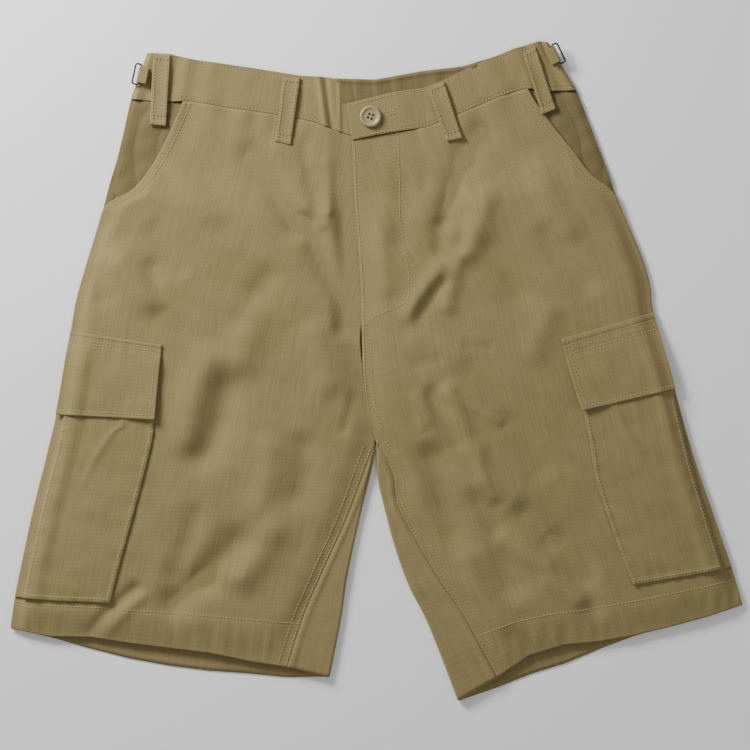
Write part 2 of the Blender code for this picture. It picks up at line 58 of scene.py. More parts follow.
# Stations down each leg: side x, y, inner x, y, then the pocket opening and the front's inner seam as shares.
rightRows = {
    "waist": (-221, 244, -1.2, 205, 0.214, 1.078),
    "hip": (-231, 199, -1.2, 160, 0.152, 1.072),
    "hipLow": (-240, 168, -1.2, 130, 0.093, 1.062),
    "pocketEnd": (-246, 145, -1.2, 107, 0.0, 1.045),
    "seat": (-261, 96, -1.2, 66, 0.0, 0.988),
    "flyEnd": (-270, 64, -1.2, 33, 0.0, 0.952),
    "flapTop": (-275, 36, -1.2, -5, 0.0, 0.963),
    "flapLow": (-288, -39, -1.2, -54, 0.0, 0.994),
    "crotch": (-291, -53, -1.4, -66, 0.0, 0.998),
    "thigh": (-297, -78, -4, -87, 0.0, 0.981),
    "knee": (-308, -122, -15, -132, 0.0, 0.962),
    "kneeLow": (-318, -168, -26, -184, 0.0, 0.921),
    "bagLow": (-325, -203, -32, -224, 0.0, 0.886),
    "hem": (-329, -231, -42, -275, 0.0, 0.868),
}
leftRows = {
    "waist": (180, 252, -0.8, 213, 0.243, 1.117),
    "hip": (197, 208, -0.8, 165, 0.126, 1.097),
    "hipLow": (208, 180, -0.8, 135, 0.072, 1.083),
    "pocketEnd": (216, 156, -0.8, 110, 0.0, 1.07),
    "seat": (238, 104, -0.8, 70, 0.0, 1.055),
    "flyEnd": (246, 77, -0.8, 41, 0.0, 1.051),
    "flapTop": (249, 53, -0.8, -19, 0.0, 1.04),
    "crotch": (264, 0, -0.6, -62, 0.0, 1.002),
    "flapLow": (268, -16, 0, -79, 0.0, 0.972),
    "thigh": (278, -53, 1.5, -99, 0.0, 0.952),
    "knee": (288, -86, 7, -123, 0.0, 0.958),
    "kneeMid": (299, -118, 16, -157, 0.0, 0.929),
    "kneeLow": (310, -150, 29, -193, 0.0, 0.902),
    "bagLow": (319, -176, 47, -229, 0.0, 0.884),
    "hem": (329, -210, 73, -296, 0.0, 0.861),
}
# How far waist seam and hem lie above the straight line of their row:
# share, waist front, waist back, hem front, hem back.
rightEdges = [(0, 0, 0, 0, 0), (.125, 2.5, 3, -2, -3), (.25, 8, 5, 3, -7.5), (.375, 8, 6, 3, -11),
              (.5, 9, 8, 4, -12),
              (.625, 9.5, 10, 5, -11), (.75, 9, 12, 3, -8), (.875, 3, 17, 3, -6), (1, 0, 21, 0, 0)]
leftEdges = [(0, 0, 0, 0, 0), (.125, 4, 0, 0, .5), (.25, 11.5, 4, 2, 2.5), (.375, 9.5, 5, 5, 4.5),
             (.5, 5, 7, 10, 3.5),
             (.625, 0, 8, 18, 1), (.75, -4, 9.5, 19, 2), (.875, -2.5, 11, 7, 0), (1, -1.5, 13, 0, 0)]
edgeColumn = {"waistFront": 1, "waistBack": 2, "hemFront": 3, "hemBack": 4}
# Cargo pocket edges as shares of the front panel: inner at top and foot, outer at top and foot.
pocketShares = {"right": (0.31, 0.332, 0.026, 0.03), "left": (0.318, 0.37, 0.008, 0.036)}
# Band tops: share along the seam, x, y.
rightBandTop = [(0, -206, 286), (.1, -186, 285), (.214, -165, 280), (.36, -133, 275.5), (.5, -103, 271),
                (.66, -69, 265.5), (.8, -43, 264), (.89, -29.5, 260), (.935, -19, 237), (1.078, 18, 241)]
leftBandTop = [(0, 154, 295.5), (.1, 146, 296.3), (.243, 123, 289.5), (.38, 100, 280), (.5, 80, 271),
               (.625, 60, 261), (.75, 41, 254), (.9, 13, 250), (1.117, -27, 240)]
rightBackTop = [(0, -206, 285), (.25, -152, 276.5), (.5, -100, 270), (.75, -50, 263.5), (1, -1, 262)]
leftBackTop = [(0, 154, 295), (.1, 146, 296), (.25, 119, 287), (.5, 78, 274), (.75, 40, 269.5), (1, -1, 262)]

# Creases, listed one by one: x0, y0, x1, y1, width, rise (ridge +, trough -).
creases = [
    (-116, 200, -64, 127, 13, -2.4), (-70, 135, -15, 48, 12, -2.4), (-98, 205, -50, 130, 10, 1.6),
    (-66, 211, -58, 175, 6, -1.6), (-58, 178, -52, 132, 7, -1.6), (-75, 205, -68, 170, 7, 1.2),
    (-38, 189, -33, 155, 6, -1.8), (-34, 155, -21, 108, 7, -1.8), (-45, 190, -40, 140, 6, 1.6),
    (-236, 105, -196, 60, 13, 1.8), (-253, 95, -242, 60, 10, -1.4), (-200, 99, -196, 64, 9, -1.3),
    (-131, -7, -156, -86, 16, -2.0), (-163, -122, -181, -189, 10, -1.2), (-150, 20, -172, -70, 15, 1.4),
    (-114, -146, -153, -189, 16, -2.0), (-150, -186, -190, -216, 14, -2.0), (-85, -135, -130, -190, 15, 1.8),
    (-110, 60, -125, 0, 16, 1.3), (-60, 40, -40, -20, 12, 1.2), (-22, -20, -30, -57, 5, -1.4),
    (-205, 130, -170, 90, 10, -0.9), (-185, 190, -150, 130, 14, 0.9), (-90, 90, -130, 40, 12, -1.0),
    (-60, -60, -75, -120, 12, -1.2), (-95, -60, -105, -130, 12, 1.0), (-50, -160, -75, -225, 10, 0.9),
    (95, 223, 80, 185, 12, -2.2), (80, 190, 60, 130, 11, -2.2), (60, 135, 57, 100, 8, -1.4),
    (46, 190, 42, 160, 5, -1.0), (79, 146, 72, 108, 6, -1.2), (98, 165, 84, 100, 11, 1.6),
    (58, 99, 29, 45, 9, 2.2), (76, 108, 64, 53, 8, 1.6), (64, 82, 36, 46, 6, -1.8),
    (78, 27, 105, 20, 5, -0.9), (32, 7, 60, 9, 5, -0.8), (30, 30, 80, 10, 12, 0.9),
    (61, -14, 87, -65, 7, 2.0), (87, -65, 107, -117, 8, 1.8), (48, -15, 76, -70, 8, -1.6),
    (58, -16, 111, -50, 4, 1.2), (115, -40, 150, -95, 12, -1.1), (140, 10, 160, 60, 12, 1.0),
    (125, -125, 161, -153, 12, -1.8), (158, -150, 190, -186, 12, -2.0), (187, -186, 203, -218, 9, -1.8),
    (111, -146, 154, -182, 9, 1.8), (154, -182, 183, -212, 9, 1.8), (90, -110, 130, -200, 14, -1.6),
    (45, -70, 80, -160, 14, -1.6), (70, -150, 115, -235, 10, 1.3), (140, 190, 175, 120, 13, 1.0),
    (150, 130, 190, 70, 12, -0.9), (110, 120, 130, 60, 14, -0.8), (20, 190, 25, 110, 9, -0.7),
    (5, 190, 8, 70, 9, 0.7), (35, -20, 45, -50, 7, 1.0), (-214, -191, -260, -239, 6, -2.2),
    (-205, -200, -250, -244, 5, 1.4),
]


creaseLook = {"depth": 2.0, "fullWidth": 10, "most": 1.35, "wander": 2.5, "wanderLong": 17}


def smoothStep(v):
    # 0 below 0, 1 above 1, with level ends
    t = np.clip(v, 0, 1)
    return t * t * (3 - 2 * t)


def bell(v):
    # e to the power of minus v squared: 1 at 0 and next to nothing beyond 2
    return np.exp(-(v ** 2))


def throughRows(values, where):
    # a Catmull-Rom curve through the values at whole numbers, read at fractional ones
    values = np.asarray(values, float)
    last = len(values) - 1
    where = np.clip(np.asarray(where, float), 0, last)
    i = np.minimum(where.astype(int), last - 1)
    t = where - i
    p0, p1, p2, p3 = (values[np.clip(i + k, 0, last)] for k in (-1, 0, 1, 2))
    m1, m2 = (p2 - p0) / 2, (p3 - p1) / 2
    near = (2 * t**3 - 3 * t**2 + 1) * p1 + (t**3 - 2 * t**2 + t) * m1
    return near + (3 * t**2 - 2 * t**3) * p2 + (t**3 - t**2) * m2


def creaseSum(x, y):
    # each crease is a bell across its line that fades at both ends, and a slow wave bends the line a little
    total = np.zeros(np.broadcast(x, y).shape)
    for n, (x0, y0, x1, y1, width, rise) in enumerate(creases):
        dx, dy = x1 - x0, y1 - y0
        length = math.hypot(dx, dy)
        along = ((x - x0) * dx + (y - y0) * dy) / length
        across = ((x - x0) * dy - (y - y0) * dx) / length
        across = across + creaseLook["wander"] * np.sin(along / creaseLook["wanderLong"] + n)
        ends = smoothStep(along / width / 1.6 + 0.5) * smoothStep((length - along) / width / 1.6 + 0.5)
        depth = creaseLook["depth"] * rise * min(creaseLook["most"], width / creaseLook["fullWidth"])
        total = total + depth * ends * bell(across / width)
    return total


def softNoise(x, y, size, seed):
    # a sum of turned sine waves of near sizes, uneven but the same each run
    total = 0
    for k in range(5):
        turn = seed + 2.399 * k
        step = size * (0.7 + 0.17 * k)
        total = total + np.sin((x * math.cos(turn) + y * math.sin(turn)) / step * 6.283 + 1.7 * k + seed)
    return total / 5


class Leg:
    # one leg's tables, read at a share across the leg and a row down it
    def __init__(self, side, rows, edges):
        self.side, self.edges = side, np.array(edges)
        self.names = list(rows)
        self.last = len(rows) - 1
        self.table = np.array(list(rows.values()), float)
        sides = self.table[:, :2]
        self.downTable = np.concatenate([[0], np.cumsum(np.hypot(*np.diff(sides, axis=0).T))])

    def row(self, name):
        return self.names.index(name)

    def at(self, column, row):
        return throughRows(self.table[:, column], row)

    def seam(self, row):
        return self.at(5, row)

    def point(self, share, row, face):
        # on the straight line of the row, lifted near waist and hem by the edge table
        x = self.at(0, row) * (1 - share) + self.at(2, row) * share
        y = self.at(1, row) * (1 - share) + self.at(3, row) * share
        nearWaist = np.clip(1 - row / 2, 0, 1) ** 2
        nearHem = np.clip(1 - (self.last - row) / 2, 0, 1) ** 2
        shares = self.edges[:, 0]
        y = y + nearWaist * np.interp(share, shares, self.edges[:, edgeColumn["waist" + face]])
        return x, y + nearHem * np.interp(share, shares, self.edges[:, edgeColumn["hem" + face]])

    def opening(self, row):
        return np.maximum(self.at(4, row), 0) * (np.asarray(row) < self.row("pocketEnd"))

    def share(self, s, row):
        start = self.opening(row)
        return start + (self.seam(row) - start) * s

    def width(self, row):
        return np.hypot(self.at(0, row) - self.at(2, row), self.at(1, row) - self.at(3, row))

    def down(self, row):
        return np.interp(row, np.arange(self.last + 1), self.downTable)


right = Leg("right", rightRows, rightEdges)
left = Leg("left", leftRows, leftEdges)


def named(stem, leg):
    return stem + leg.side.title()


# Front panels: the hem is a doubled band 24.5 mm deep, puckered on the bias; gathers run down from the waist
frontLook = {"across": 190, "rowsPerStation": 15, "hemLine": 24.5, "hemBand": 0.45, "pucker": 0.35,
             "gather": 0.75, "gatherReach": 26, "flat": (0.36, 0.56)}


def frontTop(leg, s, row):
    # upper side of the front panel: slack, creases and small puckers, all falling away at the outer edge
    share = leg.share(s, row)
    x, y = leg.point(share, row, "Front")
    w = leg.width(row)
    along = share * w
    fromOpening = (share - leg.opening(row)) * w
    fall = smoothStep(along / layers["sideFall"])
    fall = 1 - smoothStep((row - leg.row("pocketEnd")) / 0.6) * (1 - fall)
    if leg is right:
        lap = smoothStep((x + 44) / 16) * smoothStep((leg.row("flyEnd") + 0.4 - row) / 0.5)
        fall = fall * (1 - lap)
    inside = smoothStep(row / 1.2) * smoothStep((leg.share(1, row) - share) * w / 25)
    inside = inside * smoothStep(fromOpening / 20) * smoothStep((leg.last - row) / 0.8)
    hemDistance = leg.down(leg.last) - leg.down(row)
    small = 0.45 * softNoise(x, y, 34, 1.3) + 0.1 * softNoise(x, y, 13, 4.1)
    pucker = np.sin(along / 2.3 + 2 * np.sin(along / 19) + hemDistance / 7)
    pucker = pucker * (0.5 + 0.5 * np.sin(along / 31 + 2))
    pucker = frontLook["pucker"] * bell((hemDistance - 12) / 9) * pucker
    gather = np.sin(along / 3.6 + 2.2 * np.sin(along / 23)) * (0.6 + 0.4 * np.sin(along / 37))
    gather = frontLook["gather"] * bell(leg.down(row) / frontLook["gatherReach"]) * gather
    hemLine = frontLook["hemLine"]
    hemBand = frontLook["hemBand"] * smoothStep((hemLine + 1 - hemDistance) / 1.2)
    hemBand = hemBand - 0.35 * bell((hemDistance - hemLine) / 1.3)
    edgeRoll = 0.35 * bell((fromOpening - 3) / 4) * smoothStep((leg.row("pocketEnd") - row) / 0.2 + 1)
    loft = layers["loft"] * np.minimum(inside, smoothStep((row - 0.9) / 1.5))
    creased = creaseSum(x, y) * (0.25 + 0.75 * np.minimum(inside, loft / layers["loft"] + 0.3))
    air = layers["air"] + creased + loft + small + gather
    z = backTop + layers["gap"] + layers["cloth"] + np.maximum(air, 0.15) * fall + pucker + hemBand + edgeRoll
    return x, y, z


def linear(hexColour):
    # an sRGB hex colour as linear red, green, blue and alpha
    channels = [int(hexColour[i:i + 2], 16) / 255 for i in (0, 2, 4)]
    return [c / 12.92 if c <= 0.04045 else ((c + 0.055) / 1.055) ** 2.4 for c in channels] + [1.0]


def addNode(tree, kind, links=None, **settings):
    # one node with its settings; links go from (node, output) to the input named or numbered
    node = tree.nodes.new(kind)
    for key, value in settings.items():
        setattr(node, key, value)
    for key, value in (links or {}).items():
        if isinstance(value, tuple) and hasattr(value[0], "outputs"):
            tree.links.new(value[0].outputs[value[1]], node.inputs[key])
        else:
            node.inputs[key].default_value = value
    return node


def addMix(tree, share, first, second):
    return addNode(tree, "ShaderNodeMix", {0: share, 6: first, 7: second}, data_type="RGBA")


def startMaterial(name):
    material = bpy.data.materials.new(name)
    material.use_nodes = True
    tree = material.node_tree
    tree.nodes.clear()
    shader = addNode(tree, "ShaderNodeBsdfPrincipled")
    output = addNode(tree, "ShaderNodeOutputMaterial")
    tree.links.new(shader.outputs[0], output.inputs[0])
    return material, tree, shader


def makeMottled(name, dark, pale, scale, detail, roughness, metallic=0.0):
    # two near shades in fine spots over the piece
    material, tree, shader = startMaterial(name)
    place = addNode(tree, "ShaderNodeTexCoord")
    noise = addNode(tree, "ShaderNodeTexNoise", {"Vector": (place, 3), "Scale": scale, "Detail": detail})
    mix = addMix(tree, (noise, 0), linear(dark), linear(pale))
    tree.links.new(mix.outputs[2], shader.inputs["Base Color"])
    shader.inputs["Roughness"].default_value = roughness
    shader.inputs["Metallic"].default_value = metallic
    return material


# Cotton ripstop, woven and washed: matt, with a square grid of thicker yarns that catches the light a little
ripstopLook = {"base": "897A50", "warm": "8F7B53", "green": "84774C", "yarn": "998B61", "slub": "746946",
               "gridPitch": 3.1, "gridLine": 0.7, "gridShare": 0.2, "yarnSize": 0.5,
               "roughness": 0.92, "sheen": 0.12, "specular": 0.25, "bump": 0.00012, "bumpStrength": 0.35}


# shade below 1 darkens the cloth's whole colour as painted shade
def makeRipstop(name, look, shade=1.0):
    material, tree, shader = startMaterial(name)
    uv = addNode(tree, "ShaderNodeUVMap", uv_map="cloth")
    split = addNode(tree, "ShaderNodeSeparateXYZ", {0: (uv, 0)})
    place = addNode(tree, "ShaderNodeTexCoord")
    # grid lines: the distance to the nearest multiple of the pitch, along each way of the cloth
    lines = []
    for axis in (0, 1):
        near = addNode(tree, "ShaderNodeMath", {0: (split, axis), 1: look["gridPitch"] * mm / 2},
                       operation="PINGPONG")
        lines.append(addNode(tree, "ShaderNodeMapRange",
                             {0: (near, 0), 1: 0.0, 2: look["gridLine"] * mm, 3: 1.0, 4: 0.0},
                             interpolation_type="SMOOTHSTEP"))
    grid = addNode(tree, "ShaderNodeMath", {0: (lines[0], 0), 1: (lines[1], 0)}, operation="MAXIMUM")
    weave = addNode(tree, "ShaderNodeTexNoise",
                    {"Vector": (uv, 0), "Scale": 1 / (look["yarnSize"] * mm) / 2, "Detail": 3.0,
                     "Roughness": 0.7})
    drift = addNode(tree, "ShaderNodeTexNoise",
                    {"Vector": (place, 3), "Scale": 9.0, "Detail": 3.0, "Roughness": 0.55})
    blotch = addNode(tree, "ShaderNodeTexNoise", {"Vector": (place, 3), "Scale": 55.0, "Detail": 3.0})
    driftMap = addNode(tree, "ShaderNodeMapRange", {0: (drift, 0), 1: 0.38, 2: 0.62})
    blotchMap = addNode(tree, "ShaderNodeMapRange", {0: (blotch, 0), 1: 0.3, 2: 0.7, 3: 0.0, 4: 0.35})
    tone = addMix(tree, (driftMap, 0), linear(look["warm"]), linear(look["green"]))
    body = addMix(tree, (blotchMap, 0), (tone, 2), linear(look["base"]))
    gridShare = addNode(tree, "ShaderNodeMath", {0: (grid, 0), 1: look["gridShare"]}, operation="MULTIPLY")
    withGrid = addMix(tree, (gridShare, 0), (body, 2), linear(look["yarn"]))
    weaveMap = addNode(tree, "ShaderNodeMapRange", {0: (weave, 0), 1: 0.35, 2: 0.75, 3: 0.0, 4: 0.42})
    colour = addMix(tree, (weaveMap, 0), (withGrid, 2), linear(look["slub"]))
    # long thin streaks down the warp, where one yarn is a little paler than the next; the same factor carries
    # shade, which darkens the whole colour as painted shade
    warp = addNode(tree, "ShaderNodeMapping", {0: (uv, 0), 3: (420.0, 22.0, 1.0)})
    streak = addNode(tree, "ShaderNodeTexNoise", {"Vector": (warp, 0), "Scale": 1.0, "Detail": 2.0})
    streakMap = addNode(tree, "ShaderNodeMapRange",
                        {0: (streak, 0), 1: 0.3, 2: 0.7, 3: 0.92 * shade, 4: 1.06 * shade})
    worn = addNode(tree, "ShaderNodeVectorMath", {0: (colour, 2), 3: (streakMap, 0)}, operation="SCALE")
    tree.links.new(worn.outputs[0], shader.inputs["Base Color"])
    raised = addNode(tree, "ShaderNodeMath", {0: (weave, 0), 1: 0.6, 2: (grid, 0)}, operation="MULTIPLY_ADD")
    bump = addNode(tree, "ShaderNodeBump",
                   {"Height": (raised, 0), "Distance": look["bump"], "Strength": look["bumpStrength"]})
    tree.links.new(bump.outputs[0], shader.inputs["Normal"])
    shader.inputs["Roughness"].default_value = look["roughness"]
    shader.inputs["Sheen Weight"].default_value = look["sheen"]
    shader.inputs["Sheen Roughness"].default_value = 0.5
    shader.inputs["Specular IOR Level"].default_value = look["specular"]
    return material


clothMaterial = makeRipstop("cottonRipstopKhaki", ripstopLook)
# the same cloth with painted shade: its colour darkened to stand in for the shadow inside the band and the
# pocket mouths
paintedShadeClothMaterial = makeRipstop("cottonRipstopKhakiPaintedShade", ripstopLook, 0.64)


def makeMesh(name, points, faces, material, uv=None, smooth=True):
    # points in mm and faces of one size, as a piece at the origin that rides on the garment
    mesh = bpy.data.meshes.new(name)
    points = np.asarray(points, np.float32)
    faces = np.asarray(faces, np.int32)
    size = faces.shape[1]
    mesh.vertices.add(len(points))
    mesh.vertices.foreach_set("co", (points * mm).ravel())
    mesh.loops.add(faces.size)
    mesh.loops.foreach_set("vertex_index", faces.ravel())
    mesh.polygons.add(len(faces))
    mesh.polygons.foreach_set("loop_start", np.arange(0, faces.size, size, dtype=np.int32))
    mesh.polygons.foreach_set("loop_total", np.full(len(faces), size, np.int32))
    mesh.update(calc_edges=True)
    mesh.validate()
    if uv is not None:
        layer = mesh.uv_layers.new(name="cloth")
        layer.data.foreach_set("uv", (np.asarray(uv, np.float32)[faces.ravel()] * mm).ravel())
    mesh.polygons.foreach_set("use_smooth", np.full(len(faces), smooth))
    mesh.materials.append(material)
    piece = bpy.data.objects.new(name, mesh)
    scene.collection.objects.link(piece)
    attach(piece, "root")
    return piece


def makeShell(name, x, y, z, u, v, wall=layers["shell"], material=clothMaterial):
    # a closed thin wall: the upper grid and a lower grid straight below it
    x, y, z, u, v = np.broadcast_arrays(x, y, z, u, v)
    top = np.stack([x, y, z], -1).astype(float)
    low = top.copy()
    low[..., 2] -= wall
    return shellFrom(name, top, low, u, v, material=material)


def shellFrom(name, top, low, u, v, keep=None, material=clothMaterial):
    # two grids of points as the two sides, the cells to keep on both, and a rim along every open edge
    rows, cols = top.shape[:2]
    number = np.arange(rows * cols).reshape(rows, cols)
    cells = np.stack([number[:-1, :-1], number[:-1, 1:], number[1:, 1:], number[1:, :-1]], -1)
    kept = cells.reshape(-1, 4) if keep is None else cells[keep]
    edges = np.concatenate([kept[:, [k, (k + 1) % 4]] for k in range(4)])
    key = np.sort(edges, axis=1)
    _, first, count = np.unique(key[:, 0] * rows * cols + key[:, 1], return_index=True, return_counts=True)
    rim = edges[first[count == 1]]
    shift = rows * cols
    walls = np.stack([rim[:, 1], rim[:, 0], rim[:, 0] + shift, rim[:, 1] + shift], -1)
    faces = np.concatenate([kept, kept[:, ::-1] + shift, walls])
    points = np.concatenate([top.reshape(-1, 3), low.reshape(-1, 3)])
    middle = kept[len(kept) // 2]
    facing = np.cross(points[middle[1]] - points[middle[0]], points[middle[3]] - points[middle[0]])
    if np.dot(facing, points[middle[0]] - points[middle[0] + shift]) < 0:
        faces = faces[:, ::-1]
    used = np.unique(faces)
    renumber = np.zeros(len(points), np.int64)
    renumber[used] = np.arange(len(used))
    uv = np.concatenate([np.stack([u, v], -1).reshape(-1, 2)] * 2)
    return makeMesh(name, points[used], renumber[faces], material, uv[used])


def declare(piece, node):
    mesh = piece.data
    areas = np.zeros(len(mesh.polygons))
    mesh.polygons.foreach_get("area", areas)
    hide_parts(node)


print("front panels")


def makeFront(leg):
    row = np.linspace(0, leg.last, leg.last * frontLook["rowsPerStation"] + 1)[:, None]
    s = np.linspace(0, 1, frontLook["across"])[None, :]
    x, y, z = frontTop(leg, s, row)
    across = leg.share(s, row) * leg.width(row)
    piece = makeShell(named("frontLeg", leg), x, y, z, across, leg.down(row) + 0 * s)
    declare(piece, "front_leg_" + leg.side)


for leg in (right, left):
    makeFront(leg)

print("pocket facings and back panels")
# Facing: from the side seam in under the front panel, by reach as a share of the leg's width
facingLook = {"reach": 0.085, "wrinkle": 0.75, "wrinkleSize": 24, "foldRise": 0.9, "wall": 0.6,
              "flat": (0.1, 0.13)}
# Back: rows between stations, cells across its flat part, round the inner fold and back to the inseam
backLook = {"rowsPerStation": 9, "flatCells": 60, "arcSteps": 12, "runSteps": 18, "fell": 0.9,
            "flat": (0.42, 0.58)}


def makeFacing(leg):
    # vertical folds as the absolute value of a bent sine wave, fading in below the waist
    row = np.linspace(0.02, leg.row("pocketEnd") - 0.06, 70)[:, None]
    s = np.linspace(0, 1, 60)[None, :]
    share = (leg.opening(row) + facingLook["reach"]) * s
    x, y = leg.point(share, row, "Front")
    outer = share * leg.width(row)
    down = leg.down(row)
    folds = np.abs(np.sin(outer / 6.5 + 1.3 * np.sin(down / 21))) ** 0.8 * smoothStep(down / 12)
    z = backTop + layers["gap"] + layers["cloth"] + 0.25 * np.sin(np.pi * s)
    z = z + facingLook["wrinkle"] * softNoise(x, y, facingLook["wrinkleSize"], 2.2)
    z = z + facingLook["foldRise"] * folds
    z = z - 0.9 * (1 - smoothStep(outer / 6)) + 0.25 * bell((down - 6) / 5) * np.sin(outer / 2.4)
    # the facing is drawn in the cloth darkened as painted shade for the pocket mouth
    piece = makeShell(named("pocketFacing", leg), x, y, z, outer, down + 0 * s, facingLook["wall"],
                      paintedShadeClothMaterial)
    declare(piece, "pocket_facing_" + leg.side)


def makeBack(leg):
    # flat on the ground from the side to the inner fold, then from the crotch down round the fold and
    # back over to the inseam, where it is felled to the front
    row = np.linspace(0, leg.last, leg.last * backLook["rowsPerStation"] + 1)[:, None]
    toward = np.sign(leg.table[0, 0])
    seamX, seamY, seamTop = frontTop(leg, np.array([[1.0]]), row)
    foldX, foldY = leg.point(np.array([[1.0]]), row, "Back")
    outerR = seamTop / 2
    wall = layers["shell"]
    wraps = row >= leg.row("crotch")
    bendX = foldX + np.where(wraps, toward * outerR, 0)
    flat = np.linspace(0, 1, backLook["flatCells"])[None, :]
    sideX, sideY = leg.point(flat, row, "Back")
    flatX = sideX[:, :1] + (sideX - sideX[:, :1]) * (bendX - sideX[:, :1]) / (foldX - sideX[:, :1])
    outside = [np.stack([flatX, sideY, 0 * flatX], -1)]
    inside = [np.stack([flatX, sideY, 0 * flatX + wall], -1)]
    angle = np.pi * np.arange(1, backLook["arcSteps"] + 1)[None, :] / backLook["arcSteps"]
    for grid, radius in ((outside, outerR), (inside, outerR - wall)):
        arcX = bendX - toward * radius * np.sin(angle)
        grid.append(np.stack([arcX, foldY + 0 * angle, outerR - radius * np.cos(angle)], -1))
    toSeam = (np.arange(1, backLook["runSteps"] + 1) / backLook["runSteps"])[None, :]
    startX = np.where(np.abs(seamX - bendX) > 1.0, bendX, seamX - toward)
    runX = startX + (seamX + 0.3 * toward - startX) * toSeam
    runY = foldY + (seamY - foldY) * toSeam
    fell = backLook["fell"] * bell((np.abs(runX - seamX) - 3.0) / 2.6)
    runZ = seamTop + fell + 0.35 * softNoise(runX, runY, 17, 0.4) * np.sin(np.pi * toSeam)
    outside.append(np.stack([runX, runY, runZ], -1))
    inside.append(np.stack([runX, runY, runZ - wall], -1))
    outside, inside = np.concatenate(outside, 1), np.concatenate(inside, 1)
    keep = np.ones((len(row) - 1, outside.shape[1] - 1), bool)
    keep[:, flat.size - 1:] = wraps[:-1]
    step = np.linalg.norm(np.diff(outside, axis=1), axis=2)
    u = np.concatenate([np.zeros((len(row), 1)), np.cumsum(step, axis=1)], 1)
    piece = shellFrom(named("backLeg", leg), outside, inside, u, leg.down(row) + 0 * u, keep)
    declare(piece, "back_leg_" + leg.side)


for leg in (right, left):
    makeFacing(leg)
    makeBack(leg)

print("waistband")
frontBandLook = {"across": 260, "up": 44, "gather": 0.85, "wall": {"right": 1.2, "left": 1.6},
                 "flat": (0.26, 0.05)}
# The back band's inner side shows above the button tab, from x = from to x = to, and is pleated there
backBandLook = {"across": 150, "up": 36, "from": -42, "to": 108, "pleat": 1.5, "wall": 1.1,
                "flat": (0.42, 0.05)}


def bandPlace(leg, table, face, share, rise):
    # straight from the waist seam up to the band's top edge
    lowX, lowY = leg.point(share, 0.0, face)
    t = np.array(table, float)
    topX, topY = np.interp(share, t[:, 0], t[:, 1]), np.interp(share, t[:, 0], t[:, 2])
    return lowX + (topX - lowX) * rise, lowY + layers["gap"] + (topY - lowY - layers["gap"]) * rise


def bandRelief(along, rise, x, y):
    # gathers across the band, strongest at its edges, and a stitched groove along both edges
    gather = np.sin(along / 3.7 + 2.4 * np.sin(along / 29)) * (0.45 + 0.55 * np.sin(along / 43 + 1))
    gather = frontBandLook["gather"] * gather * (0.35 + 0.65 * np.abs(rise - 0.5) * 2)
    groove = -0.4 * bell((rise - 0.045) / 0.03) - 0.3 * bell((rise - 0.93) / 0.025)
    return gather + groove + 0.15 * softNoise(x, y, 19, 3.3)


def tabLift(x):
    return smoothStep((46 - x) / 26) * (layers["underlap"] + layers["gap"])


def frontBandTop(leg, share, rise):
    # the right band thins under the tab, the left one climbs over it; three folds gather beside the tab
    x, y = bandPlace(leg, rightBandTop if leg is right else leftBandTop, "Front", share, rise)
    along = share * leg.width(0.0)
    relief = bandRelief(along, rise, x, y)
    if leg is right:
        lap = smoothStep((x + 44) / 16)
        z = bandTop - (layers["bandWall"] - layers["underlap"]) * lap + relief * (1 - lap)
        folds = 1.5 * bell((x + 46 + 6 * rise) / 2.6) - 1.2 * bell((x + 40 + 6 * rise) / 2.4)
        z = z + (folds + 0.8 * bell((x + 33) / 2.4)) * (1 - smoothStep((x + 34) / 6))
    else:
        z = bandTop + tabLift(x) + relief * (1 - 0.8 * smoothStep((22 - x) / 12))
    return x, y, z - 1.2 * (1 - smoothStep(along / 5))


def makeFrontBand(leg):
    table = rightBandTop if leg is right else leftBandTop
    share = np.linspace(0, table[-1][0], frontBandLook["across"])[None, :]
    rise = np.linspace(0, 1, frontBandLook["up"])[:, None]
    x, y, z = frontBandTop(leg, share, rise)
    wall = frontBandLook["wall"][leg.side]
    piece = makeShell(named("waistbandFront", leg), x, y, z, share * leg.width(0.0), rise * 42, wall)
    declare(piece, "waistband_front_" + leg.side)


def makeBackBand():
    # one strip over both back panels
    look = backBandLook
    rise = np.linspace(0, 1, look["up"])[:, None]
    share = np.linspace(0, 1, look["across"])[None, :]
    rx, ry = bandPlace(right, rightBackTop, "Back", share, rise)
    lx, ly = bandPlace(left, leftBackTop, "Back", share[:, ::-1], rise)
    x, y = np.concatenate([rx, lx[:, 1:]], 1), np.concatenate([ry, ly[:, 1:]], 1)
    shows = smoothStep((x - look["from"]) / 8) * smoothStep((look["to"] - x) / 20) * smoothStep(rise / 0.5)
    pleats = look["pleat"] * np.abs(np.sin(x / 7.5 + 1.1 * np.sin(x / 19) + rise * 0.9)) ** 0.7
    pleats = pleats + 0.5 * np.sin(x / 2.9 + 2)
    roll = 0.9 * bell((rise - 0.93) / 0.05)
    z = backTop + 0.05 + shows * (1.2 + pleats * (1 - 0.4 * rise) + roll)
    top = np.stack([x, y, z], -1)
    low = np.stack([x, y, np.maximum(z - look["wall"], 0.0) * (shows > 0.02)], -1)
    # the back band is drawn in the cloth darkened as painted shade inside the band
    piece = shellFrom("waistbandBack", top, low, x + 210, rise * 40 + 0 * x, material=paintedShadeClothMaterial)
    declare(piece, "waistband_back")


makeFrontBand(right)
makeFrontBand(left)
makeBackBand()

print("cargo pockets")
pocketLook = {"across": 84, "down": 170, "bag": 0.8, "flat": (0.125, 0.215)}
gussetLook = {"across": 14, "down": 150, "under": 0.024, "aboveFlap": 0.25, "wall": 0.5, "flat": (0.03, 0.2)}
# Flap: wide, deep and its clearance over the pocket in mm; it goes past the pocket's inner edge by a share,
# and its free corner lifts, on the right leg curling under
flapLook = {"wide": 82.0, "deep": 76, "past": 1.012, "clear": 1.2, "lift": 1.6, "curl": -1.0,
            "flat": (0.1, 0.1)}


